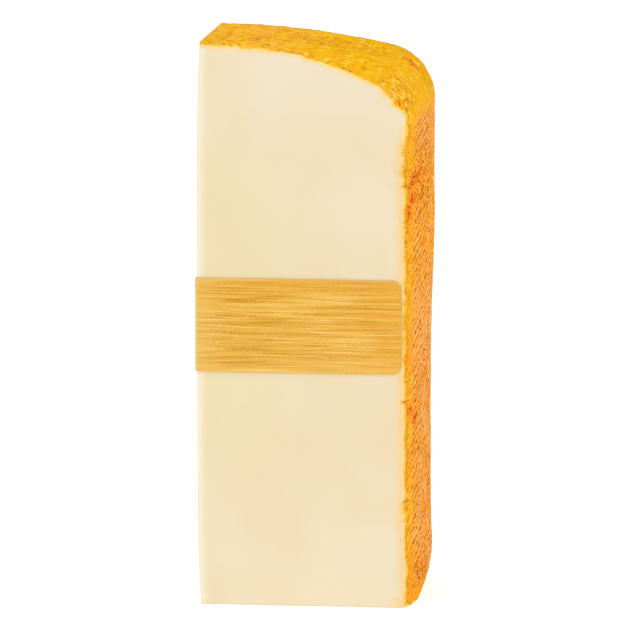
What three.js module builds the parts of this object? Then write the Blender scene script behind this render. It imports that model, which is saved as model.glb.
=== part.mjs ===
// A tall piece cut from a block of soft cheese. It stands on a flat cut end. The front, the back and the
// left side are flat cuts through the pale paste. The domed top and the right side keep the dyed rind,
// which has the print of the cloth that the block was pressed in. A printed paper band is stuck across
// the front, goes round the left edge and ends on the back.
// Millimetres, +Z up, front cut facing -Y, rind side facing +X, origin under the middle of the piece.

import * as THREE from 'three';

// The piece
const pieceHeight = 140.9;
const pieceDepth = 42;
const frontWidth = 50.6;

// The rind swells out behind the front cut, up to a crest, and draws in again towards the back
const crestDepth = 24;
const swellPower = 3.1;
const swellBelow = 3.7;
const swellAbove = 4.6;
const swellChange = { from: 60, to: 95 };

// The dome of the top and its round corner, at the front cut and at the crest
const domeRadius = { front: 100, crest: 200 };
const cornerRadius = { front: 12, crest: 12 };

// The foot of the rind side spreads a little, and its lower edge is rounded under, more so at the back
const footSpread = { width: 0.7, height: 40 };
const tuck = { front: 0.9, back: 3.6 };
const tuckHeight = { front: 4, back: 13 };

// The left cut is bowed outwards
const leftBow = 0.8;
const bowPower = 6;

// The cloth print, as raised points in a diamond lattice that fades out towards the cuts
const printPitch = { along: 2.5, deep: 3.2 };
const printHeight = 0.13;
const printFade = { from: 0.5, to: 6 };

// The slow lumps of the rind, as waves in many directions
const lumpWaves = 7;
const lumpHeight = 0.06;
const lumpLength = { shortest: 7, longest: 27 };
const goldenAngle = Math.PI * (3 - Math.sqrt(5));

// The band
const bandHeight = 23.4;
const bandMiddle = 70.4;
const bandThickness = 0.3;
const bandGap = 0.15;
const bandFrontEnd = 50.2;
const bandBackEnd = 22;
const bandCornerRadius = 2.2;
const bandEndColumns = 6;
const bandBendColumns = 6;

// Divisions of the outline: on the rind each is about half a mesh of the print long
const rindDivisions = { dome: 31, corner: 12, side: 93 };
const leftDivisions = 12;
const bottomDivisions = 8;

const materials = {
  paste: new THREE.MeshStandardMaterial({ color: '#f4e1bb', roughness: 0.5, metalness: 0 }),
  bandPrint: new THREE.MeshStandardMaterial({ color: '#eeba55', roughness: 0.45, metalness: 0 }),
};

const lerp = THREE.MathUtils.lerp;
const smoothstep = THREE.MathUtils.smoothstep;

// How full the rind is at a depth behind the front cut: 0 at the front cut and 1 at the crest
function fullness(depth) {
  return 1 - Math.abs(1 - depth / crestDepth) ** swellPower;
}

// The x of the rind side at a height and depth, without its relief
function sideX(z, depth) {
  const swell = lerp(swellBelow, swellAbove, smoothstep(z, swellChange.from, swellChange.to));
  const spread = footSpread.width * Math.max(0, 1 - z / footSpread.height) ** 2;
  const back = depth / pieceDepth;
  const tuckTop = lerp(tuckHeight.front, tuckHeight.back, back);
  const under = lerp(tuck.front, tuck.back, back) * Math.max(0, 1 - z / tuckTop) ** 2;
  return frontWidth + spread + swell * fullness(depth) - under;
}

// The relief of the rind, from the distance along its outline and the depth
function relief(along, depth) {
  let height = 0;
  for (let wave = 0; wave < lumpWaves; wave += 1) {
    const angle = wave * goldenAngle;
    const length = lerp(lumpLength.shortest, lumpLength.longest, wave / (lumpWaves - 1));
    const distance = along * Math.cos(angle) + depth * Math.sin(angle);
    height += lumpHeight * Math.sin(2 * Math.PI * distance / length + wave);
  }
  const toCut = Math.min(depth, pieceDepth - depth);
  const print = printWave(along / printPitch.along) * printWave(depth / printPitch.deep);
  return height + printHeight * smoothstep(toCut, printFade.from, printFade.to) * print;
}

function printWave(turns) {
  return Math.cos(2 * Math.PI * turns);
}

// The rind's outline at one depth, from the left cut over the dome and the corner and down to the floor:
// points with the direction that faces out of the piece
function rindOutline(depth) {
  const full = fullness(Math.min(depth, crestDepth));
  const radius = 1 / lerp(1 / domeRadius.front, 1 / domeRadius.crest, full);
  const corner = lerp(cornerRadius.front, cornerRadius.crest, full);
  const domeCentreZ = pieceHeight - radius;
  const width = sideX(pieceHeight, depth);
  const cornerX = width - corner;
  const cornerZ = domeCentreZ + Math.sqrt((radius - corner) ** 2 - cornerX ** 2);
  const turn = Math.atan2(cornerX, cornerZ - domeCentreZ);
  const points = [];
  for (let i = 0; i <= rindDivisions.dome; i += 1) {
    const angle = turn * i / rindDivisions.dome;
    const out = new THREE.Vector2(Math.sin(angle), Math.cos(angle));
    points.push({ x: radius * out.x, z: domeCentreZ + radius * out.y, out });
  }
  for (let i = 1; i <= rindDivisions.corner; i += 1) {
    const angle = lerp(turn, Math.PI / 2, i / rindDivisions.corner);
    const out = new THREE.Vector2(Math.sin(angle), Math.cos(angle));
    points.push({ x: cornerX + corner * out.x, z: cornerZ + corner * out.y, out });
  }
  for (let i = 1; i <= rindDivisions.side; i += 1) {
    const z = cornerZ * (1 - i / rindDivisions.side);
    points.push({ x: sideX(z, depth), z, out: new THREE.Vector2(1, 0) });
  }
  return points;
}

// One closed outline of the piece at a depth: the rind, the bottom cut and the left cut
function pieceOutline(depth) {
  const points = rindOutline(depth).map((point, i) => {
    const height = relief(i * printPitch.along / 2, depth);
    return new THREE.Vector3(point.x + height * point.out.x, depth, point.z + height * point.out.y);
  });
  const foot = points.at(-1);
  const top = points[0];
  for (let i = 1; i < bottomDivisions; i += 1) {
    points.push(new THREE.Vector3(foot.x * (1 - i / bottomDivisions), depth, 0));
  }
  for (let i = 0; i < leftDivisions; i += 1) {
    const z = top.z * i / leftDivisions;
    points.push(new THREE.Vector3(leftX(z), depth, z));
  }
  return points;
}

// The x of the left cut at a height
function leftX(z) {
  return -leftBow * (1 - Math.abs(2 * z / pieceHeight - 1) ** bowPower);
}

// A closed surface through rings of points that have the same count, closed by a fan at both ends.
// Each ring runs clockwise as seen from the front, and the rings are in order from front to back.
function loft(rings) {
  const count = rings[0].length;
  const last = count * (rings.length - 1);
  const frontMiddle = count * rings.length;
  const backMiddle = frontMiddle + 1;
  const faces = [];
  for (let i = 0; i < count; i += 1) {
    const next = (i + 1) % count;
    for (let r = 0; r < last; r += count) {
      faces.push(r + i, r + next, r + count + i);
      faces.push(r + next, r + count + next, r + count + i);
    }
    faces.push(frontMiddle, next, i);
    faces.push(backMiddle, last + i, last + next);
  }
  const points = [...rings.flat(), ringMiddle(rings[0]), ringMiddle(rings.at(-1))];
  return indexedGeometry(points, faces);
}

function ringMiddle(ring) {
  return new THREE.Box3().setFromPoints(ring).getCenter(new THREE.Vector3());
}

function indexedGeometry(points, faces) {
  const geometry = new THREE.BufferGeometry().setFromPoints(points);
  geometry.setIndex(faces);
  geometry.computeVertexNormals();
  return geometry;
}

// The whole piece of cheese, as one solid
function cheeseGeometry() {
  const stations = Math.round(pieceDepth / (printPitch.deep / 2));
  const rings = [];
  for (let r = 0; r <= stations; r += 1) {
    rings.push(pieceOutline(pieceDepth * r / stations));
  }
  return loft(rings);
}

// The band's course seen from above, at a distance off the cheese: from its front end leftwards, round
// the two left edges and on to its back end. Each column has its place and its distance to the nearer end.
function bandColumns(distance) {
  const left = leftX(bandMiddle);
  const columns = [];
  for (let i = 0; i <= bandEndColumns; i += 1) {
    const inset = endInset(i);
    columns.push({ x: bandFrontEnd - inset, y: -distance, inset });
  }
  for (const [y, startAngle] of [[0, -Math.PI / 2], [pieceDepth, Math.PI]]) {
    for (let i = 0; i <= bandBendColumns; i += 1) {
      const angle = startAngle - Math.PI / 2 * i / bandBendColumns;
      const bendX = left + distance * Math.cos(angle);
      const bendY = y + distance * Math.sin(angle);
      columns.push({ x: bendX, y: bendY, inset: bandCornerRadius });
    }
  }
  for (let i = bandEndColumns; i >= 0; i -= 1) {
    const inset = endInset(i);
    columns.push({ x: bandBackEnd - inset, y: pieceDepth + distance, inset });
  }
  return columns;
}

// How far in from the band's end a column stands, closer together near the end
function endInset(i) {
  return bandCornerRadius * (1 - Math.cos(Math.PI / 2 * i / bandEndColumns));
}

// The paper band, as one thin closed strip with round corners
function bandGeometry() {
  const inner = bandColumns(bandGap);
  const outer = bandColumns(bandGap + bandThickness);
  const rings = inner.map((column, i) => {
    const drop = bandCornerRadius - column.inset;
    const cut = bandCornerRadius - Math.sqrt(bandCornerRadius ** 2 - drop ** 2);
    const half = bandHeight / 2 - cut;
    const low = bandMiddle - half;
    const high = bandMiddle + half;
    return [
      new THREE.Vector3(outer[i].x, outer[i].y, low),
      new THREE.Vector3(outer[i].x, outer[i].y, high),
      new THREE.Vector3(inner[i].x, inner[i].y, high),
      new THREE.Vector3(inner[i].x, inner[i].y, low),
    ];
  });
  return strip(rings);
}

// A closed strip through rings of four points, with a flat face at both ends
function strip(rings) {
  const sides = 4;
  const last = sides * (rings.length - 1);
  const faces = [0, 3, 2, 0, 2, 1, last, last + 1, last + 2, last, last + 2, last + 3];
  for (let r = 0; r < last; r += sides) {
    for (let i = 0; i < sides; i += 1) {
      const a = r + i;
      const b = r + (i + 1) % sides;
      faces.push(a, b, a + sides, b, b + sides, a + sides);
    }
  }
  return indexedGeometry(rings.flat(), faces);
}

function namedMesh(name, geometry, material) {
  const mesh = new THREE.Mesh(geometry, material);
  mesh.name = name;
  return mesh;
}

const piece = new THREE.Group();
piece.add(namedMesh('cheese', cheeseGeometry(), materials.paste));
piece.add(namedMesh('band', bandGeometry(), materials.bandPrint));

const box = new THREE.Box3().setFromObject(piece);
const middle = box.getCenter(new THREE.Vector3());
piece.position.set(-middle.x, -middle.y, -box.min.z);

export default piece;
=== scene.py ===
import math

import bpy
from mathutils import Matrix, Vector, noise
from mathutils.kdtree import KDTree


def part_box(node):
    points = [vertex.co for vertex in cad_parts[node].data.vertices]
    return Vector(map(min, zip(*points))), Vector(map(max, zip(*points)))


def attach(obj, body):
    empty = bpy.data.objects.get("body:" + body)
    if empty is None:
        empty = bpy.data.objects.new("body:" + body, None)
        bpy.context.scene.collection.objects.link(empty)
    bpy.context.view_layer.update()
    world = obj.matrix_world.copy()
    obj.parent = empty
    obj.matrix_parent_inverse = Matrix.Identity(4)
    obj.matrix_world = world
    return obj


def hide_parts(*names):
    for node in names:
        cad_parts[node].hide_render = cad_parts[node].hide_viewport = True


mm = 0.001
noise.seed_set(7)           # the vector noise differs from run to run without it

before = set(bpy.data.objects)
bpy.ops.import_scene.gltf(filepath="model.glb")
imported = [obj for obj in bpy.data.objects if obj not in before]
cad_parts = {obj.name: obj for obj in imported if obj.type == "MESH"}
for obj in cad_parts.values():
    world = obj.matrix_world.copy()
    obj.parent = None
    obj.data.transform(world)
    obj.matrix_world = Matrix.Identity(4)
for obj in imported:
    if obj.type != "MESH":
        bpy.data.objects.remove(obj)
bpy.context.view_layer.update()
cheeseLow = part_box("cheese")[0]
bandLow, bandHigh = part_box("band")


def paint(red, green, blue):
    # a colour as seen on a screen, 0 to 255, turned into linear light
    def linear(level):
        level = level / 255
        return level / 12.92 if level <= 0.04045 else ((level + 0.055) / 1.055) ** 2.4
    return (linear(red), linear(green), linear(blue), 1)


def lerp(a, b, share):
    return a + (b - a) * share


def smoothstep(low, high, value):
    share = min(1, max(0, (value - low) / (high - low)))
    return share * share * (3 - 2 * share)


# camera
cameraSetup = {
    "azimuth": 6.6,         # degrees to the piece's right
    "elevation": 8.45,
    "distance": 2.0,
    "lens": 455.7,
    "aim": (-0.65 * mm, 0, 69.9 * mm),
}


def placeCamera(setup):
    azimuth = math.radians(setup["azimuth"])
    elevation = math.radians(setup["elevation"])
    back = Vector((
        math.sin(azimuth) * math.cos(elevation),
        -math.cos(azimuth) * math.cos(elevation),
        math.sin(elevation),
    ))
    bpy.ops.object.camera_add(location=Vector(setup["aim"]) + back * setup["distance"])
    camera = bpy.context.object
    camera.name = "camera"
    camera.data.lens = setup["lens"]
    camera.data.clip_end = 20
    camera.rotation_euler = (-back).to_track_quat("-Z", "Y").to_euler()
    bpy.context.scene.camera = camera


placeCamera(cameraSetup)
print("camera placed")


# shader maths
class Wire:
    # a socket that takes part in Python expressions; each operator adds its Math node
    def __init__(self, look, socket):
        self.look = look
        self.socket = socket

    def maths(self, operation, a, b=0.0):
        return self.look.add("ShaderNodeMath", {"operation": operation}, {0: a, 1: b})

    def __add__(self, other):
        return self.maths("ADD", self, other)

    def __sub__(self, other):
        return self.maths("SUBTRACT", self, other)

    def __mul__(self, other):
        return self.maths("MULTIPLY", self, other)

    def __rsub__(self, other):
        return self.maths("SUBTRACT", other, self)

    def least(self, other):
        return self.maths("MINIMUM", self, other)

    def most(self, other):
        return self.maths("MAXIMUM", self, other)

    def away(self, value):
        # the distance from a value
        return self.maths("ABSOLUTE", self - value)

    def fold(self):
        # the distance to the nearest whole number, 0 to 0.5
        return self.maths("PINGPONG", self, 0.5)

    def ease(self, low, high):
        # 0 below low and 1 above high, smoothly; low may be the larger
        return self.look.add(
            "ShaderNodeMapRange", {"interpolation_type": "SMOOTHSTEP"},
            {"Value": self, "From Min": low, "From Max": high})


class Look:
    # a material under construction
    def __init__(self, name):
        self.material = bpy.data.materials.new(name)
        self.material.use_nodes = True
        self.tree = self.material.node_tree
        self.tree.nodes.clear()

    def add(self, kind, settings=None, inputs=None, output=0):
        node = self.tree.nodes.new(kind)
        for name, value in (settings or {}).items():
            if name == "stops":
                self.setStops(node.color_ramp, value)
            else:
                setattr(node, name, value)
        for name, value in (inputs or {}).items():
            if isinstance(value, Wire):
                self.tree.links.new(value.socket, node.inputs[name])
            else:
                node.inputs[name].default_value = value
        return Wire(self, node.outputs[output]) if node.outputs else None

    def setStops(self, ramp, stops):
        while len(ramp.elements) < len(stops):
            ramp.elements.new(1)
        for element, (place, colour) in zip(ramp.elements, stops):
            element.position = place
            element.color = colour

    def attribute(self, name):
        return self.add("ShaderNodeAttribute", {"attribute_name": name}, output="Fac")

    def objectPlace(self):
        return self.add("ShaderNodeTexCoord", output="Object")

    def vector(self, x, y, z):
        return self.add("ShaderNodeCombineXYZ", None, {0: x, 1: y, 2: z})

    def stretched(self, place, scale):
        return self.add("ShaderNodeVectorMath", {"operation": "MULTIPLY"}, {0: place, 1: scale})

    def noise(self, place, scale, detail=2.0, roughness=0.5):
        # around 0.5, mostly between 0.3 and 0.7
        return self.add(
            "ShaderNodeTexNoise", None,
            {"Vector": place, "Scale": scale, "Detail": detail, "Roughness": roughness})

    def mix(self, share, first, second):
        return self.add(
            "ShaderNodeMix", {"data_type": "RGBA"},
            {"Factor": share, 6: first, 7: second}, output=2)

    def ramp(self, share, stops):
        return self.add("ShaderNodeValToRGB", {"stops": stops}, {"Fac": share})

    def bump(self, height, distance, strength=1.0):
        return self.add(
            "ShaderNodeBump", None, {"Height": height, "Distance": distance, "Strength": strength})

    def finish(self, inputs):
        surface = self.add("ShaderNodeBsdfPrincipled", None, inputs)
        self.add("ShaderNodeOutputMaterial", None, {"Surface": surface})
        return self.material


# modelling helpers
def deselectAll():
    bpy.ops.object.select_all(action="DESELECT")


def editSelected(piece, isChosen):
    # enters edit mode with just the vertices selected that are chosen by their place
    bpy.ops.object.mode_set(mode="EDIT")
    bpy.ops.mesh.select_mode(type="VERT")
    bpy.ops.mesh.select_all(action="DESELECT")
    bpy.ops.object.mode_set(mode="OBJECT")
    for vertex in piece.data.vertices:
        vertex.select = isChosen(vertex.co)
    bpy.ops.object.mode_set(mode="EDIT")


def extrudeAndScale(scale, centre, shift=(0, 0, 0)):
    bpy.ops.mesh.extrude_region_move()
    bpy.ops.transform.resize(value=scale, center_override=centre)
    bpy.ops.transform.translate(value=shift)


def addAttributes(mesh, columns):
    for name, column in columns.items():
        mesh.attributes.new(name, "FLOAT", "POINT").data.foreach_set("value", column)


# the cheese
cheese = {
    "height": 140.9 * mm,
    "depth": 42 * mm,
    "frontWidth": 50.6 * mm,
    "crestDepth": 24 * mm,              # the rind side swells out to a crest and draws in again
    "swellPower": 3.1,
    "swell": (3.7 * mm, 4.6 * mm),      # below and above
    "swellChange": (60 * mm, 95 * mm),
    "domeRadius": (100 * mm, 200 * mm),  # at the front cut and at the crest
    "cornerRadius": 12 * mm,
    "footSpread": 0.7 * mm,
    "footSpreadHeight": 40 * mm,
    "tuck": (0.9 * mm, 3.6 * mm),       # the foot's edge is rounded under, at the front and the back
    "tuckHeight": (4 * mm, 13 * mm),
    "leftBow": 0.8 * mm,
    "bowPower": 6,
    "cutRound": 0.3 * mm,               # how round the edges of the front and back cuts are
    "smoothAngle": 42,                  # edges that bend by more degrees stay sharp
    "pickWithin": 0.01 * mm,            # a point this close to a plane counts as on it
    "weldWithin": 0.001 * mm,           # points this close to each other become one
    "alongStep": 0.38 * mm,             # mesh size of the rind
    "deepStep": 0.42 * mm,
    "rindLengths": (43 * mm, 16 * mm, 122 * mm),  # of the rind's mesh: dome, corner, side
    "edgeRows": (                       # rows of the left and bottom cuts, in from the rind
        0.15 * mm, 0.35 * mm, 0.6 * mm, 0.9 * mm, 1.3 * mm, 1.8 * mm, 2.5 * mm, 3.5 * mm, 5 * mm),
    "leftRows": 24,                     # even rows across the rest of them
    "bottomRows": 12,
    "rimAngles": (30, 60, 90),          # rings round the edge of the front and back cuts, in degrees
    "cutRings": (                       # and further in
        0.2 * mm, 0.45 * mm, 0.75 * mm, 1.1 * mm, 1.5 * mm, 2.0 * mm, 2.7 * mm, 3.7 * mm, 5.5 * mm,
        9 * mm, 15 * mm, 22 * mm),
    "lumpWaves": 7,
    "lumpHeight": 0.02 * mm,
    "lumpLength": (7 * mm, 27 * mm),
    "printPitch": 2.05 * mm,            # the cloth's slanting threads, down the side
    "printDeepPitch": (3.0 * mm, 7.0 * mm, 3.6 * mm),  # into the depth: front cut, crest, back cut
    "crossPitch": 6 * mm,               # the threads across them, down the side and into the depth
    "crossDeepPitch": (1.4 * mm, 3.0 * mm, 1.7 * mm),
    "drifts": ((15 * mm, 0.8), (4.5 * mm, 0.3)),  # how the threads wander: over what length, turns
    "grooveWidth": (0.16, 0.19),        # of slanting and crossing threads, in turns
    "printFade": (0.4 * mm, 3.5 * mm),  # how far behind the cuts the print sets in
    "wearLength": 7 * mm,               # over which the print is deeper or shallower
    "threadDepth": 0.1 * mm,
    "pitDepth": 0.16 * mm,
    "roughHeight": 0.1 * mm,
    "roughLength": (1.7 * mm, 0.8 * mm),
    "fibreLength": (1.3 * mm, 2.6 * mm),  # on the top, along and deep
    "calmEdge": (0.3, 3 * mm),          # less relief at the top's left edge: share, width
    "goldFades": (-4.5 * mm, 5 * mm),   # the top's gold turns orange at the corner's foot
    "crumbly": (65, 82, 170),           # print worn to crumbs: from, to and the foot, in mm along
    "dull": ((64, 72), (104, 94)),      # a duller stretch of the side: eased in, eased out
    "paleAbove": (65, 59),              # and paler ones above and below it
    "paleBelow": ((95, 101), (125, 115)),
    "warm": (                           # oranger parts of the strip: along, half-length
        (82, 6), (114, 8), (131, 4), (143.5, 6), (174, 8)),
    "stains": (                         # reddish spots: along the outline, depth, radius, in mm
        (72.4, 4.4, 1.8), (74.6, 3.2, 1.9), (73.6, 6.6, 2.0), (78, 3.9, 2.2), (80.1, 2.3, 1.5),
        (81.4, 2.2, 1.3), (131.5, 3.2, 2.0), (134, 6, 1.8), (51.6, 0.6, 1.2), (11.5, 13, 1.9),
        (14.5, 18, 1.3)),
    "teeth": (                          # where the dye reaches over the cut: along, reach, half-width
        (47, 0.8, 4.2), (51.2, 0.8, 1.8), (65, 0.9, 2.2), (67.6, 0.5, 1.4), (70.2, 0.15, 1.4),
        (73.3, 1.05, 1.5), (80, 0.3, 2), (128.4, 0.6, 1), (179, 0.4, 1.4)),
    "bays": (                           # where it stops short: along, reach, half-width
        (7.6, 0.2, 1.8), (21.5, 0.5, 4), (56, 1.1, 2.8), (60, 0.6, 3), (133.3, 0.25, 2),
        (143.5, 0.25, 3), (157.6, 0.6, 1), (172.3, 0.35, 3)),
    "scores": (                         # short dark marks across the dye's edge: along
        73.6, 82.8, 85.6, 88.1, 123.5, 128.3, 153.7),
}

leftEdge = cheeseLow.x + cheese["leftBow"]
frontCut = cheeseLow.y
floorZ = cheeseLow.z


def fullness(deep):
    # how full the rind side is: 0 at the front cut and 1 at the crest
    return 1 - abs(1 - deep / cheese["crestDepth"]) ** cheese["swellPower"]


def sideX(z, deep):
    below, above = cheese["swell"]
    swell = lerp(below, above, smoothstep(*cheese["swellChange"], z))
    spread = cheese["footSpread"] * max(0, 1 - z / cheese["footSpreadHeight"]) ** 2
    back = deep / cheese["depth"]
    tuckTop = lerp(*cheese["tuckHeight"], back)
    under = lerp(*cheese["tuck"], back) * max(0, 1 - z / tuckTop) ** 2
    return cheese["frontWidth"] + spread + swell * fullness(deep) - under


def leftX(z):
    return -cheese["leftBow"] * (1 - abs(2 * z / cheese["height"] - 1) ** cheese["bowPower"])


def rindOutline(deep, steps):
    # (x, z, outward x, outward z) from the left cut over the dome and the corner down to the floor
    full = fullness(min(deep, cheese["crestDepth"]))
    front, crest = cheese["domeRadius"]
    radius = 1 / lerp(1 / front, 1 / crest, full)
    corner = cheese["cornerRadius"]
    domeZ = cheese["height"] - radius
    cornerX = sideX(cheese["height"], deep) - corner
    cornerZ = domeZ + math.sqrt((radius - corner) ** 2 - cornerX ** 2)
    turn = math.atan2(cornerX, cornerZ - domeZ)
    domeSteps, cornerSteps, sideSteps = steps
    points = []
    for i in range(domeSteps + 1):
        angle = turn * i / domeSteps
        points.append((radius * math.sin(angle), domeZ + radius * math.cos(angle),
                       math.sin(angle), math.cos(angle)))
    for i in range(1, cornerSteps + 1):
        angle = lerp(turn, math.pi / 2, i / cornerSteps)
        points.append((cornerX + corner * math.sin(angle), cornerZ + corner * math.cos(angle),
                       math.sin(angle), math.cos(angle)))
    for i in range(1, sideSteps + 1):
        z = cornerZ * (1 - i / sideSteps)
        points.append((sideX(z, deep), z, 1.0, 0.0))
    return points


goldenAngle = math.pi * (3 - math.sqrt(5))


def lumps(along, deep):
    height = 0
    for wave in range(cheese["lumpWaves"]):
        angle = wave * goldenAngle
        length = lerp(*cheese["lumpLength"], wave / (cheese["lumpWaves"] - 1))
        distance = along * math.cos(angle) + deep * math.sin(angle)
        height += cheese["lumpHeight"] * math.sin(2 * math.pi * distance / length + wave)
    return height


def deepTurns(steps, pitches):
    # turns of the cloth's threads from the front cut into the depth, at each of the steps
    front, crest, back = pitches
    turns = [0]
    for i in range(steps):
        deep = cheese["depth"] * (i + 0.5) / steps
        pitch = lerp(front, crest, smoothstep(0, cheese["crestDepth"], deep))
        pitch = lerp(pitch, back, smoothstep(cheese["crestDepth"], cheese["depth"], deep))
        turns.append(turns[-1] + cheese["depth"] / steps / pitch)
    return turns


def clothPrint(along, deep, turns, crossTurns):
    # the turns of the cloth's slanting threads and of those across them, drifting as hand-laid cloth does
    place = Vector((along, deep, 0))
    drift = Vector()
    for length, reach in cheese["drifts"]:
        drift += noise.noise_vector(place / length) * reach
    return (along / cheese["printPitch"] + turns + drift.x,
            crossTurns - along / cheese["crossPitch"] + drift.y)


def groove(turns, width):
    off = abs(turns - round(turns))
    return math.exp(-(off / width) ** 2)


def rindRelief(along, deep, top, slanting, crossing):
    # the height over the plain form
    place = Vector((along, deep, 0))
    slantWidth, crossWidth = cheese["grooveWidth"]
    rising, falling = groove(slanting, slantWidth), groove(crossing, crossWidth)
    dents = cheese["threadDepth"] * max(rising, 0.5 * falling) + cheese["pitDepth"] * rising * falling
    toCut = min(deep, cheese["depth"] - deep)
    wear = noise.noise(place / cheese["wearLength"] + Vector((7, 3, 1)))
    strength = smoothstep(*cheese["printFade"], toCut) * min(1, max(0.15, 0.65 + wear))
    fibreAlong, fibreDeep = cheese["fibreLength"]
    fibre = noise.noise(Vector((along / fibreAlong, deep / fibreDeep, 5)))
    coarse, fine = cheese["roughLength"]
    rough = noise.noise(place / coarse) + 0.5 * noise.noise(place / fine)
    height = lumps(along, deep)
    height += cheese["roughHeight"] * (0.6 * rough + 2.2 * top * fibre)
    height -= strength * dents
    calm, calmWidth = cheese["calmEdge"]
    return height * lerp(calm, 1, smoothstep(0, calmWidth, along))


def cheeseMesh():
    # a flat sheet is laid over the dome and down the side, then its rims are drawn round the cuts
    step = cheese["alongStep"]
    steps = [round(length / step) for length in cheese["rindLengths"]]
    alongSteps = sum(steps)
    rindDepth = cheese["depth"] - 2 * cheese["cutRound"]
    deepSteps = round(rindDepth / cheese["deepStep"])
    deselectAll()
    bpy.ops.mesh.primitive_grid_add(x_subdivisions=alongSteps, y_subdivisions=deepSteps, size=1)
    piece = bpy.context.object
    piece.name = "cheeseBody"
    mesh = piece.data
    depths = [cheese["cutRound"] + rindDepth * j / deepSteps for j in range(deepSteps + 1)]
    outlines = [rindOutline(deep, steps) for deep in depths]
    turns = deepTurns(deepSteps, cheese["printDeepPitch"])
    crossTurns = deepTurns(deepSteps, cheese["crossDeepPitch"])
    cornerEnd = (steps[0] + steps[1]) * step
    names = ("along", "deep", "slanting", "crossing", "top")
    columns = {name: [0.0] * len(mesh.vertices) for name in names}
    for vertex in mesh.vertices:
        i = round((vertex.co.x + 0.5) * alongSteps)
        j = round((vertex.co.y + 0.5) * deepSteps)
        along, deep = i * step, depths[j]
        x, z, outX, outZ = outlines[j][i]
        top = 1 - smoothstep(*cheese["goldFades"], along - cornerEnd)
        slanting, crossing = clothPrint(along, deep, turns[j], crossTurns[j])
        height = rindRelief(along, deep, top, slanting, crossing) if i < alongSteps else 0
        vertex.co = (leftEdge + x + height * outX, frontCut + deep, floorZ + z + height * outZ)
        values = (along / mm, deep / mm, slanting, crossing, top)
        for name, value in zip(names, values):
            columns[name][vertex.index] = value
    addAttributes(mesh, columns)
    topZ = outlines[0][0][1]
    drawCuts(piece, topZ)
    return piece


def cutRows(edge, evenRows):
    # the places of the rows across a cut, close at its edge and then even down to 0
    near = [edge - row for row in cheese["edgeRows"]]
    return near + [near[-1] * (1 - i / evenRows) for i in range(1, evenRows + 1)]


def drawCuts(piece, topZ):
    corner = (leftEdge, 0, floorZ)
    # the left cut, from the top edge down to the floor
    near = cheese["pickWithin"]
    editSelected(piece, lambda place: place.x < leftEdge + near)
    above = topZ
    for z in cutRows(topZ, cheese["leftRows"]):
        extrudeAndScale((1, 1, z / above), corner, (leftX(z) - leftX(above), 0, 0))
        above = z
    # the bottom cut, from the rind's foot across to the left cut
    foot = sideX(0, cheese["crestDepth"])
    editSelected(piece, lambda place: place.z < floorZ + near and place.x > leftEdge + foot / 2)
    outer = foot
    for x in cutRows(foot, cheese["bottomRows"]):
        extrudeAndScale((x / outer, 1, 1), corner)
        outer = x
    bpy.ops.mesh.select_all(action="SELECT")
    bpy.ops.mesh.remove_doubles(threshold=cheese["weldWithin"])
    drawFlatCut(piece, frontCut, -1)
    drawFlatCut(piece, frontCut + cheese["depth"], 1)
    bpy.ops.mesh.select_all(action="SELECT")
    bpy.ops.mesh.normals_make_consistent(inside=False)
    bpy.ops.object.mode_set(mode="OBJECT")


def drawFlatCut(piece, cutY, facing):
    # rings that shrink towards the middle of the cut, the first ones round its edge
    roundness = cheese["cutRound"]
    rimY = cutY - facing * roundness
    editSelected(piece, lambda place: abs(place.y - rimY) < cheese["pickWithin"])
    width, height = cheese["frontWidth"], cheese["height"]
    middle = (leftEdge + width / 2, rimY, floorZ + height / 2)
    rings = []
    for degrees in cheese["rimAngles"]:
        angle = math.radians(degrees)
        rings.append((roundness * (1 - math.cos(angle)), roundness * math.sin(angle)))
    rings += [(roundness + inward, roundness) for inward in cheese["cutRings"]]
    was, wasOut = 0, 0
    for inset, out in rings:
        scale = ((width - 2 * inset) / (width - 2 * was), 1, (height - 2 * inset) / (height - 2 * was))
        extrudeAndScale(scale, middle, (0, facing * (out - wasOut), 0))
        was, wasOut = inset, out
    bpy.ops.mesh.edge_face_add()
    bpy.ops.mesh.quads_convert_to_tris()


def markCuts(piece, looks):
    # gives each face its look and each point its distance from the rind's edge, below 0 on the rind
    mesh = piece.data
    for look in looks:
        mesh.materials.append(look)
    roundness = cheese["cutRound"]
    front, back = frontCut + roundness, frontCut + cheese["depth"] - roundness
    isRind = [False] * len(mesh.vertices)
    isCut = [False] * len(mesh.vertices)
    for face in mesh.polygons:
        middle, normal = face.center, face.normal
        isFlat = middle.y < front or middle.y > back or normal.x < -0.9 or normal.z < -0.97
        face.material_index = 1 if isFlat else 0
        for index in face.vertices:
            if isFlat:
                isCut[index] = True
            else:
                isRind[index] = True
    rindTree, cutTree = KDTree(sum(isRind)), KDTree(sum(isCut))
    for vertex in mesh.vertices:
        if isRind[vertex.index]:
            rindTree.insert(vertex.co, vertex.index)
        if isCut[vertex.index]:
            cutTree.insert(vertex.co, vertex.index)
    rindTree.balance()
    cutTree.balance()
    along = [item.value for item in mesh.attributes["along"].data]
    top = [item.value for item in mesh.attributes["top"].data]
    names = ("inward", "edgeTop", "edgeAlong", "leftward")
    columns = {name: [0.0] * len(mesh.vertices) for name in names}
    for vertex in mesh.vertices:
        nearest = vertex.index
        if isRind[nearest]:
            columns["inward"][nearest] = -cutTree.find(vertex.co)[2] / mm
        else:
            _, nearest, distance = rindTree.find(vertex.co)
            columns["inward"][vertex.index] = distance / mm
        columns["edgeTop"][vertex.index] = top[nearest]
        columns["edgeAlong"][vertex.index] = along[nearest]
        columns["leftward"][vertex.index] = (vertex.co.x - leftEdge - leftX(vertex.co.z - floorZ)) / mm
    addAttributes(mesh, columns)


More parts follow.
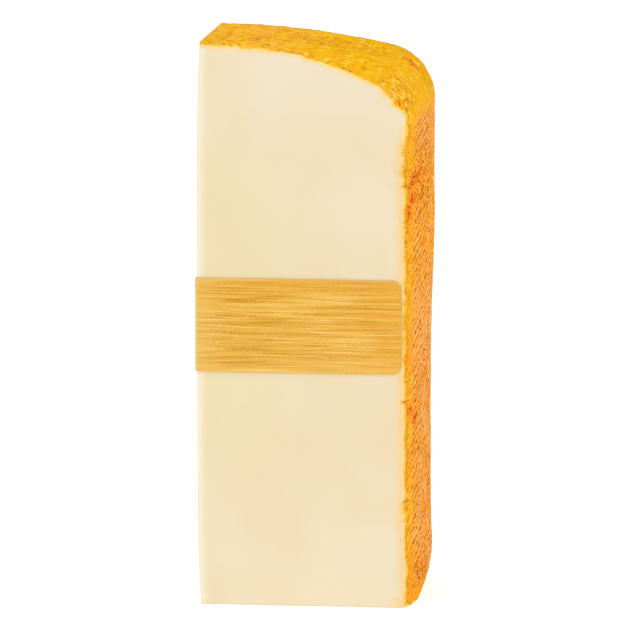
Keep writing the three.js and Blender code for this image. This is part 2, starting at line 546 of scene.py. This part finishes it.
dyes = {
    "orange": paint(241, 148, 30),      # the side
    "lightOrange": paint(247, 163, 58),
    "paleOrange": paint(252, 174, 84),
    "deepOrange": paint(240, 142, 20),
    "darkGold": paint(234, 162, 18),    # the strip along the front cut
    "brightGold": paint(247, 176, 34),
    "amber": paint(248, 158, 26),
    "warmAmber": paint(252, 148, 22),
    "gold": paint(248, 188, 20),        # the top
    "dimGold": paint(244, 174, 26),
    "apricot": paint(252, 170, 52),
    "padYellowAndHighlight": paint(255, 194, 104),  # the cloth's print; the pad colours are partly, and the gleam wholly, painted highlight
    "padPinkAndHighlight": paint(255, 184, 132),
    "worn": paint(244, 140, 16),
    "pale": paint(255, 190, 106),
    "dull": paint(252, 158, 22),
    "crumbLight": paint(255, 208, 104),
    "crumbDark": paint(212, 112, 8),
    "gleam": paint(255, 218, 152),
    "dash": paint(216, 112, 8),
    "pit": paint(166, 74, 6),
    "peach": paint(255, 166, 72),       # mottles, hairs, painted glints of light and cracks of the top
    "ochre": paint(234, 162, 8),
    "flakeLight": paint(255, 206, 84),
    "flakeDark": paint(208, 118, 8),
    "cornerGold": paint(232, 164, 34),
    "glint": paint(255, 214, 76),
    "leftCrack": paint(198, 96, 6),
    "rightCrack": paint(208, 140, 8),
    "strandLight": paint(255, 214, 92),
    "strandDark": paint(196, 124, 18),
    "backEdge": paint(196, 124, 20),
    "stain": paint(244, 108, 52),
    "stainSpeck": paint(204, 48, 6),
    "sideLine": paint(206, 138, 14),    # where the dye ends at the cut
    "topLine": paint(190, 116, 8),
    "score": paint(184, 122, 10),
}

fringes = {                             # from the dye into the paste, a place of 1 being 4 mm in
    "side": (
        (0.0, paint(232, 178, 40)),
        (0.06, paint(238, 188, 68)),
        (0.14, paint(240, 199, 112)),
        (0.27, paint(240, 207, 142)),
        (0.42, paint(238, 210, 158)),
        (0.62, paint(236, 213, 169)),
        (0.9, paint(234, 216, 178)),
    ),
    "top": (
        (0.0, paint(236, 184, 34)),
        (0.06, paint(242, 197, 62)),
        (0.14, paint(244, 210, 108)),
        (0.27, paint(242, 214, 141)),
        (0.52, paint(239, 215, 164)),
        (0.9, paint(236, 217, 180)),
    ),
}

pasteTints = {
    "ivory": paint(233, 215, 177),
    "paleIvory": paint(236, 220, 189),
    "creamy": paint(233, 215, 167),
    "pinkish": paint(237, 222, 198),
    # painted highlight: the paste paler along its left edge
    "leftEdge": paint(241, 231, 204),
    # painted shade: the paste darker along its bottom edge, where the contact shadow falls
    "foot": paint(214, 206, 164),
}


def nearAlong(along, places):
    # 1 around each of some places along the outline, given with the half-length that it fades over
    near = 0.0
    for middle, half in places:
        near = along.away(middle).ease(half, half * 0.4).most(near)
    return near


def dyed(look, top, along, nearCut):
    # the rind's own colour: orange on the side, golden on the top and in a strip along the front cut
    place = look.objectPlace()
    patches = look.noise(place, 60.0, 2.0)
    worn = look.noise(place, 190.0, 3.0)
    side = look.mix(patches.ease(0.4, 0.6), dyes["orange"], dyes["lightOrange"])
    side = look.mix(worn.ease(0.52, 0.64), side, dyes["paleOrange"])
    side = look.mix(worn.ease(0.45, 0.33), side, dyes["deepOrange"])
    strip = look.mix(worn.ease(0.38, 0.5), dyes["darkGold"], dyes["brightGold"])
    strip = look.mix(worn.ease(0.54, 0.66), strip, dyes["amber"])
    warm = nearAlong(along + patches * 8.0 - 4.0, cheese["warm"])
    strip = look.mix(warm * 0.65, strip, dyes["warmAmber"])
    side = look.mix(nearCut, side, strip)
    upper = look.mix(patches.ease(0.38, 0.62), dyes["gold"], dyes["dimGold"])
    upper = look.mix(worn.ease(0.54, 0.7) * 0.75, upper, dyes["apricot"])
    return look.mix((top + patches * 0.6 - 0.3).ease(0.1, 0.9), side, upper)


def cutDepth(look, top, along):
    # millimetres in from the ragged line where the dye ends, as seen from the front, below 0 in the dye
    place = look.objectPlace()
    inward = look.attribute("inward")
    wander = look.noise(place, 110.0, 2.0) * 3.0 - 1.5
    ragged = look.noise(place, 300.0, 4.0, 0.6).ease(0.4, 0.6) * 1.1 - 0.5
    layer = top * along.ease(24.0, 12.0) * along.ease(-8.0, 4.0) * 0.58 + top * 0.38 - 0.43
    depth = inward.most(0.0) + inward.least(0.0) * 0.57
    depth = depth - layer - wander * 0.3 - ragged * wander.ease(-0.8, 0.7) * (1 - top * 0.6)
    atFront = look.attribute("deep").ease(21.0, 20.0)
    for middle, reach, half in cheese["teeth"]:
        tooth = along.away(middle).ease(half, half * 0.2) * (ragged * 0.5 + 1.0)
        depth = depth - tooth * reach * atFront
    for middle, reach, half in cheese["bays"]:
        depth = depth + along.away(middle).ease(half, half * 0.3) * reach * atFront
    return depth * (top * 1.2 + 1.0)


def fringed(look, dye, depth, top, along):
    # the dye fades into the paste through yellow, with a darker line where it ends
    fine = look.noise(look.objectPlace(), 900.0, 2.0)
    line = depth.ease(-1.1, -0.4) * (fine + top * 0.06).ease(0.62, 0.42)
    dye = look.mix(line * 0.75, dye, look.mix(top, dyes["sideLine"], dyes["topLine"]))
    side = look.ramp(depth * 0.25, fringes["side"])
    upper = look.ramp(depth * 0.25, fringes["top"])
    colour = look.mix(depth.ease(-0.35, 0.3), dye, look.mix(top, side, upper))
    # short dark scores left by the knife
    near = depth.ease(0.8, 0.3) * depth.ease(-1.8, -0.9) * look.attribute("deep").ease(21.0, 20.0)
    slanted = along + fine * 0.4 + depth * 0.2 - 0.2
    for middle in cheese["scores"]:
        score = slanted.away(middle).ease(0.32, 0.1) * near
        colour = look.mix(score * 0.75, colour, dyes["score"])
    return colour


def stretch(along, easedIn, easedOut):
    # 1 on a stretch of the outline and 0 beyond both of its ends
    return along.ease(*easedIn) * along.ease(*easedOut)


def clothDye(look, colour, top, along, deep, nearCut):
    # the print of the cloth: dyed deeper in the grooves, paler on the pads between them, and the pads
    # also carry painted highlight: paler faces and a creamy gleam in their middles
    place = look.objectPlace()
    slanting, crossing = look.attribute("slanting"), look.attribute("crossing")
    cell = look.vector(slanting, crossing * 0.5, 0.0)
    sway = look.noise(cell, 0.7, 4.0, 0.7) * 2.2 - 1.1
    rise = (slanting + sway).fold()
    fall = (crossing - sway).fold()
    breaks = look.noise(cell, 1.3, 3.0, 0.6)
    crumbs = look.noise(cell, 5.0, 2.0)
    laid = look.noise(place, 55.0, 1.0).ease(0.36, 0.62)
    dash = rise.ease(0.26, 0.07) * fall.ease(0.04, 0.24) * breaks.ease(0.38, 0.52)
    pit = rise.ease(0.16, 0.04) * fall.ease(0.18, 0.36) * breaks.ease(0.44, 0.56)
    pad = rise.ease(0.2, 0.4) * fall.ease(0.0, 0.14) * look.noise(cell, 0.8, 3.0).ease(0.38, 0.58)
    gleam = rise.ease(0.34, 0.46) * fall.ease(0.22, 0.4) * breaks.ease(0.46, 0.56)
    # the stretches of the side that are worn to crumbs, duller and paler
    level = along - deep * 0.15
    fromAlong, toAlong, foot = cheese["crumbly"]
    crumbly = stretch(level, (fromAlong - 3, fromAlong + 3), (toAlong + 4, toAlong - 4))
    crumbly = crumbly.most(along.ease(foot - 6, foot + 4)) * deep.ease(24.0, 14.0)
    duller = stretch(level, *cheese["dull"])
    paler = level.ease(*cheese["paleAbove"]).most(stretch(level, *cheese["paleBelow"]))
    grit = look.noise(place, 1200.0, 1.0).ease(0.58, 0.65) * crumbly * (1 - nearCut * 0.7)
    onSide = 1 - top
    inside = (1 - nearCut) * onSide
    printed = (1 - nearCut * 0.6) * onSide
    padDyeAndHighlight = look.mix(deep.ease(5.0, 12.0) * (1 - duller * 0.9), dyes["padYellowAndHighlight"], dyes["padPinkAndHighlight"])
    colour = look.mix(crumbly * (1 - nearCut) * 0.5, colour, dyes["worn"])
    colour = look.mix(paler * inside * 0.3, colour, dyes["pale"])
    colour = look.mix(duller * inside * 0.35, colour, dyes["dull"])
    # partly print, partly painted highlight: the raised pads paler, yellow towards the front and pink
    # deeper in
    colour = look.mix(pad * printed * (laid * 0.3 + 0.7) * (1 - crumbly * 0.6), colour, padDyeAndHighlight)
    colour = look.mix(crumbs.ease(0.56, 0.66) * onSide * 0.85, colour, dyes["crumbLight"])
    colour = look.mix(crumbs.ease(0.45, 0.35) * onSide * 0.8, colour, dyes["crumbDark"])
    # painted highlight: a creamy gleam in the middle of each pad
    colour = look.mix(gleam * printed * (1 - crumbly * 0.8) * 0.6, colour, dyes["gleam"])
    colour = look.mix(dash * printed * (laid * 0.4 + 0.5) * (1 - crumbly * 0.5), colour, dyes["dash"])
    colour = look.mix((pit * printed).most(grit) * 0.95, colour, dyes["pit"])
    return colour, (pad - dash - pit) * printed


def topDye(look, colour, top, along, deep, flat):
    # the top is mottled and fibrous, with painted glints of light along its fibres, ochre patches and a
    # few dark cracks
    mottle = look.noise(look.stretched(flat, (0.3, 0.24, 1.0)), 1.0, 2.0)
    hairs = look.noise(look.stretched(flat, (0.42, 0.5, 1.0)), 1.0, 2.0)
    flakes = look.noise(look.stretched(flat, (0.35, 0.75, 1.0)), 1.0, 3.0, 0.6)
    fibres = look.noise(flat, 0.42, 4.0, 0.6)
    blotches = look.noise(look.objectPlace(), 430.0, 2.0)
    rough = look.noise(look.objectPlace(), 62.0, 1.0).ease(0.36, 0.56)
    leftPart = along.ease(30.0, 16.0)
    glints = hairs.ease(0.55, 0.63) * (rough * 0.4 + 0.6)
    cracks = (fibres - 0.5).fold().ease(0.03, 0.004) * blotches.ease(0.5, 0.6) * (rough * 0.7 + 0.3)
    crackDye = look.mix(along.ease(20.0, 34.0), dyes["leftCrack"], dyes["rightCrack"])
    colour = look.mix(leftPart * mottle.ease(0.5, 0.58) * top * 0.65, colour, dyes["peach"])
    colour = look.mix(mottle.ease(0.47, 0.37) * top * 0.6, colour, dyes["ochre"])
    colour = look.mix(flakes.ease(0.52, 0.6) * leftPart * top * 0.8, colour, dyes["flakeLight"])
    colour = look.mix(flakes.ease(0.42, 0.35) * leftPart * top * 0.85, colour, dyes["flakeDark"])
    colour = look.mix(along.ease(38.0, 54.0) * top * 0.6, colour, dyes["cornerGold"])
    # painted highlight: bright glints along the top's fibres
    colour = look.mix(glints * top * 0.8, colour, dyes["glint"])
    colour = look.mix(cracks * top * 0.75, colour, crackDye)
    # strands where the corner meets the front cut, and a darker edge at the back
    strands = look.noise(look.stretched(flat, (0.5, 1.3, 1.0)), 1.0, 3.0, 0.6)
    frayed = stretch(along, (41.0, 49.0), (58.0, 53.0)) * deep.ease(11.0, 4.0)
    colour = look.mix(strands.ease(0.53, 0.6) * frayed * 0.8, colour, dyes["strandLight"])
    colour = look.mix(strands.ease(0.46, 0.4) * frayed * 0.8, colour, dyes["strandDark"])
    colour = look.mix(deep.ease(39.8, 42.0) * top * 0.6, colour, dyes["backEdge"])
    return colour, (glints - cracks) * top


def stainDye(look, colour, flat, worn, specks):
    # reddish marks at the known spots and wherever the dye is most worn
    blotches = look.noise(look.objectPlace(), 430.0, 2.0)
    stained = worn.ease(0.67, 0.75)
    for spotAlong, spotDeep, radius in cheese["stains"]:
        off = look.add("ShaderNodeVectorMath", {"operation": "DISTANCE"},
                       {0: flat, 1: (spotAlong, spotDeep, 0)}, output="Value")
        stained = stained.most(off.ease(radius, radius * 0.3))
    colour = look.mix(stained * blotches.ease(0.39, 0.53) * 0.7, colour, dyes["stain"])
    return look.mix(stained * specks.ease(0.48, 0.56) * 0.9, colour, dyes["stainSpeck"])


def rindLook():
    look = Look("dyedRind")
    place = look.objectPlace()
    top, along, deep = look.attribute("top"), look.attribute("along"), look.attribute("deep")
    flat = look.vector(along, deep, 0.0)
    worn = look.noise(place, 190.0, 3.0)
    specks = look.noise(place, 1300.0, 2.0)
    nearCut = (look.attribute("inward") + worn * 6.0 - 3.0).ease(-6.0, -3.6)
    colour = dyed(look, top, along, nearCut)
    colour, clothRelief = clothDye(look, colour, top, along, deep, nearCut)
    colour, topRelief = topDye(look, colour, top, along, deep, flat)
    colour = stainDye(look, colour, flat, worn, specks)
    colour = fringed(look, colour, cutDepth(look, top, along), top, along)
    relief = clothRelief * 0.6 + specks * 0.35 + topRelief * 0.6
    return look.finish({
        "Base Color": colour,
        "Roughness": worn.ease(0.3, 0.7) * 0.15 + 0.6,
        "Specular IOR Level": 0.0,
        "Normal": look.bump(relief, 0.2 * mm),
    })


def pasteLook():
    look = Look("palePaste")
    place = look.objectPlace()
    edgeTop, edgeAlong = look.attribute("edgeTop"), look.attribute("edgeAlong")
    leftward = look.attribute("leftward")
    height = look.add("ShaderNodeSeparateXYZ", None, {0: place}, output="Z")
    mottle = look.noise(place, 34.0, 2.0).ease(0.35, 0.65)
    creamy = leftward.ease(34.0, 2.0) * height.ease(0.02, 0.06) * height.ease(0.125, 0.1)
    pinkish = height.ease(0.112, 0.128) * leftward.ease(8.0, 18.0)
    body = look.mix(mottle, pasteTints["ivory"], pasteTints["paleIvory"])
    body = look.mix(creamy * 0.7, body, pasteTints["creamy"])
    body = look.mix(pinkish * 0.6, body, pasteTints["pinkish"])
    # painted highlight: the paste paler within a few millimetres of its left edge
    body = look.mix(leftward.ease(2.6, 0.2), body, pasteTints["leftEdge"])
    # painted shade: a darker line along the bottom edge, standing for the contact shadow
    body = look.mix(height.ease(0.0007, 0.0) * 0.6, body, pasteTints["foot"])
    depth = cutDepth(look, edgeTop, edgeAlong)
    colour = fringed(look, dyed(look, edgeTop, edgeAlong, 1.0), depth, edgeTop, edgeAlong)
    colour = look.mix(depth.ease(1.6, 3.8), colour, body)
    smear = look.noise(look.stretched(place, (1.0, 1.0, 0.25)), 420.0, 2.0)
    return look.finish({
        "Base Color": colour,
        "Roughness": smear * 0.15 + 0.4,
        "Specular IOR Level": 0.3,
        "Normal": look.bump(smear, 0.04 * mm, 0.5),
        "Subsurface Weight": 0.1,
        "Subsurface Radius": (1.0, 0.7, 0.35),
        "Subsurface Scale": 1.5 * mm,
    })


cheesePiece = cheeseMesh()
markCuts(cheesePiece, (rindLook(), pasteLook()))
deselectAll()
cheesePiece.select_set(True)
bpy.context.view_layer.objects.active = cheesePiece
bpy.ops.object.shade_smooth_by_angle(angle=math.radians(cheese["smoothAngle"]))
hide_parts("cheese")
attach(cheesePiece, "root")
print("cheese made")


# the paper band
band = {
    "gap": 0.15 * mm,
    "thickness": 0.3 * mm,
    "smoothAngle": 35,                  # edges that bend by more degrees stay sharp
    "cornerRadius": 2.2 * mm,
    "cornerSegments": 8,
    "frontEnd": 50.2 * mm,              # right of the left edge
    "backEnd": 22 * mm,
    "frontColumns": 24,                 # even columns over the front, round a bend and so on
    "bendColumns": 10,
    "sideColumns": 20,
    "backColumns": 10,
    "rimColumns": (0.1 * mm, 0.25 * mm, 0.4 * mm, 0.6 * mm),  # more of them in from the front end
    "foldColumns": (1.2 * mm, 0.8 * mm, 0.4 * mm),  # and before each bend; behind it the other way round
}

bandMiddle = (bandLow.z + bandHigh.z) / 2
bandLeft = leftX(bandMiddle - floorZ)   # the left cut at the band, from the left edge


def bandRuns():
    # the lengths of its stretches: the front, a bend, the left side, a bend and the back
    bend = band["gap"] * math.pi / 2
    return band["frontEnd"] - bandLeft, bend, cheese["depth"], bend, band["backEnd"] - bandLeft


def bandCourse(distance):
    # the place, seen from above, of a point at a distance from the front end along the band
    front, bend, side, _, _ = bandRuns()
    gap = band["gap"]
    left = leftEdge + bandLeft
    back = frontCut + cheese["depth"]
    if distance < front:
        return left + front - distance, frontCut - gap
    distance -= front
    if distance < bend:
        angle = -math.pi / 2 - distance / gap
        return left + gap * math.cos(angle), frontCut + gap * math.sin(angle)
    distance -= bend
    if distance < side:
        return left - gap, frontCut + distance
    distance -= side
    if distance < bend:
        angle = math.pi - distance / gap
        return left + gap * math.cos(angle), back + gap * math.sin(angle)
    return left + distance - bend, back + gap


def evenly(start, length, count):
    # the places between the ends of a stretch that divide it evenly
    return [start + length * i / count for i in range(1, count)]


def bandColumns():
    # where the flat band is divided, as distances from its front end
    front, bend, side, _, back = bandRuns()
    secondBend = front + bend + side
    columns = evenly(0, front, band["frontColumns"]) + list(band["rimColumns"])
    for start in (front, secondBend):
        columns += [start] + evenly(start, bend, band["bendColumns"]) + [start + bend]
        columns += [start - row for row in band["foldColumns"]]
        columns += [start + bend + row for row in reversed(band["foldColumns"])]
    columns += evenly(front + bend, side, band["sideColumns"])
    return columns + evenly(secondBend + bend, back, band["backColumns"])


def bandMesh():
    # a flat strip with round corners is divided into columns and then laid round the cheese
    runs = bandRuns()
    length = sum(runs)
    height = bandHigh.z - bandLow.z
    deselectAll()
    bpy.ops.mesh.primitive_plane_add(size=1)
    piece = bpy.context.object
    piece.name = "paperBand"
    bpy.ops.object.mode_set(mode="EDIT")
    bpy.ops.transform.resize(value=(length, height, 1))
    bpy.ops.mesh.bevel(offset=band["cornerRadius"], segments=band["cornerSegments"],
                       affect="VERTICES")
    for column in bandColumns():
        bpy.ops.mesh.select_all(action="SELECT")
        bpy.ops.mesh.bisect(plane_co=(length / 2 - column, 0, 0), plane_no=(1, 0, 0))
    bpy.ops.object.mode_set(mode="OBJECT")
    mesh = piece.data
    flatMap = mesh.uv_layers.active or mesh.uv_layers.new()
    flatMap.name = "bandMap"
    for loop in mesh.loops:
        place = mesh.vertices[loop.vertex_index].co
        flatMap.data[loop.index].uv = ((length / 2 - place.x) / mm, (place.y + height / 2) / mm)
    firstFold = runs[0] + runs[1] / 2
    secondFold = sum(runs[:3]) + runs[3] / 2
    columns = {"toFold": [], "toRim": []}
    for vertex in mesh.vertices:
        distance = length / 2 - vertex.co.x
        columns["toFold"].append(min(abs(distance - firstFold), abs(distance - secondFold)) / mm)
        columns["toRim"].append(min(distance, length - distance) / mm)
        x, y = bandCourse(distance)
        vertex.co = (x, y, bandMiddle + vertex.co.y)
    addAttributes(mesh, columns)
    bpy.ops.object.mode_set(mode="EDIT")
    bpy.ops.mesh.select_all(action="SELECT")
    bpy.ops.mesh.normals_make_consistent(inside=False)
    bpy.ops.object.mode_set(mode="OBJECT")
    return piece


grainTints = {
    "brown": paint(219, 156, 36),
    "straw": paint(236, 188, 80),
    "board": paint(231, 168, 56),
    "darkLine": paint(198, 132, 10),
    "paleLine": paint(246, 214, 136),
    "paleFleck": paint(248, 200, 128),
    "darkFleck": paint(206, 150, 30),
    "upper": paint(226, 162, 36),
    "lower": paint(244, 202, 110),
    "end": paint(232, 164, 44),
    "beforeFold": paint(240, 200, 112),
    "fold": paint(240, 206, 130),
    # painted shade at the band's ends
    "endShade": paint(214, 154, 62),
    "edgeDark": paint(246, 214, 140),   # the edge of the paper itself
    "edgeLight": paint(250, 228, 176),
}


def bandLook():
    look = Look("grainPrint")
    flat = look.add("ShaderNodeUVMap", {"uv_map": "bandMap"})
    sway = look.noise(look.stretched(flat, (0.03, 0.06, 1.0)), 1.0, 1.0) * 1.6
    flat = look.add("ShaderNodeVectorMath", {"operation": "ADD"},
                    {0: flat, 1: look.vector(0.0, sway, 0.0)})
    boards = look.noise(look.stretched(flat, (0.012, 0.3, 1.0)), 1.0, 2.0)
    streaks = look.noise(look.stretched(flat, (0.016, 0.85, 1.0)), 1.0, 4.0, 0.65)
    lines = look.noise(look.stretched(flat, (0.04, 2.3, 1.0)), 1.0, 3.0, 0.65)
    flecks = look.noise(look.stretched(flat, (1.1, 3.2, 1.0)), 1.0, 2.0)
    colour = look.mix(streaks.ease(0.36, 0.62), grainTints["brown"], grainTints["straw"])
    colour = look.mix(boards.ease(0.45, 0.62) * 0.6, colour, grainTints["board"])
    colour = look.mix(lines.ease(0.48, 0.36) * 0.9, colour, grainTints["darkLine"])
    colour = look.mix(lines.ease(0.55, 0.66) * 0.9, colour, grainTints["paleLine"])
    colour = look.mix(flecks.ease(0.62, 0.7) * 0.8, colour, grainTints["paleFleck"])
    colour = look.mix(flecks.ease(0.36, 0.3) * 0.6, colour, grainTints["darkFleck"])
    up = look.add("ShaderNodeSeparateXYZ", None, {0: flat}, output="Y")
    colour = look.mix(up.ease(16.0, 23.0) * 0.3, colour, grainTints["upper"])
    colour = look.mix(up.ease(6.0, 0.0) * 0.3, colour, grainTints["lower"])
    # warmer towards the ends and paler towards the folds, with a painted highlight right at each fold and
    # painted shade right at each end
    toRim, toFold = look.attribute("toRim"), look.attribute("toFold")
    colour = look.mix(toRim.ease(15.0, 2.0) * 0.35, colour, grainTints["end"])
    colour = look.mix(toFold.ease(8.0, 1.0) * 0.25, colour, grainTints["beforeFold"])
    # painted highlight: a pale strip right where the paper bends round the fold
    colour = look.mix(toFold.ease(0.7, 0.1) * 0.6, colour, grainTints["fold"])
    # painted shade: the band darker within 0.3 mm of each end
    colour = look.mix(toRim.ease(0.3, 0.0) * 0.5, colour, grainTints["endShade"])
    return look.finish({
        "Base Color": colour,
        "Roughness": streaks * 0.1 + 0.45,
        "Specular IOR Level": 0.25,
        "Normal": look.bump(lines, 0.02 * mm, 0.4),
    })


def paperEdgeLook():
    look = Look("paperEdge")
    grain = look.noise(look.objectPlace(), 3000.0, 2.0)
    return look.finish({
        "Base Color": look.mix(grain, grainTints["edgeDark"], grainTints["edgeLight"]),
        "Roughness": 0.7,
    })


bandPiece = bandMesh()
bandPiece.data.materials.append(bandLook())
bandPiece.data.materials.append(paperEdgeLook())
solid = bandPiece.modifiers.new("thickness", "SOLIDIFY")
solid.thickness = band["thickness"]
solid.offset = 1
solid.material_offset_rim = 1
bpy.context.view_layer.objects.active = bandPiece
bpy.ops.object.modifier_apply(modifier=solid.name)
deselectAll()
bandPiece.select_set(True)
bpy.ops.object.shade_smooth_by_angle(angle=math.radians(band["smoothAngle"]))
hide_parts("band")
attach(bandPiece, "root")
print("band made")


# floor and light
studio = {
    "floorSize": 16,
    "floorColour": (0.6, 0.6, 0.6, 1),
    "floorGrain": (0.55, 0.55, 0.55, 1),
    "floorGlow": 0.6,
    "worldLevel": 0.54,
    "suns": (                           # from, strength, softness in degrees
        ("keySun", (-0.5, -0.8, 0.5), 0.1, 40),
        ("rindSun", (0.8, -0.55, 0.5), 0.88, 40),
        ("topSun", (-0.1, -0.2, 1), 0.8, 60),
        ("backSun", (-0.7, 0.7, 0.4), 0.3, 60),
    ),
}


def floorLook():
    look = Look("studioFloor")
    grain = look.noise(look.objectPlace(), 40.0, 2.0)
    return look.finish({
        "Base Color": look.mix(grain * 0.05, studio["floorColour"], studio["floorGrain"]),
        "Roughness": 0.9,
        "Emission Color": (1, 1, 1, 1),
        "Emission Strength": studio["floorGlow"],
    })


deselectAll()
bpy.ops.mesh.primitive_plane_add(size=studio["floorSize"], location=(0, 0, floorZ))
floor = bpy.context.object
floor.name = "floor"
floor.data.materials.append(floorLook())

world = bpy.data.worlds.new("studioWorld")
world.use_nodes = True
world.node_tree.nodes["Background"].inputs["Color"].default_value = (1, 1, 1, 1)
world.node_tree.nodes["Background"].inputs["Strength"].default_value = studio["worldLevel"]
bpy.context.scene.world = world
bpy.context.scene.view_settings.view_transform = "Standard"

for name, source, strength, softness in studio["suns"]:
    bpy.ops.object.light_add(type="SUN", location=source)
    lamp = bpy.context.object
    lamp.name = name
    lamp.data.energy = strength
    lamp.data.angle = math.radians(softness)
    lamp.rotation_euler = (-Vector(source)).to_track_quat("-Z", "Y").to_euler()
print("studio set")
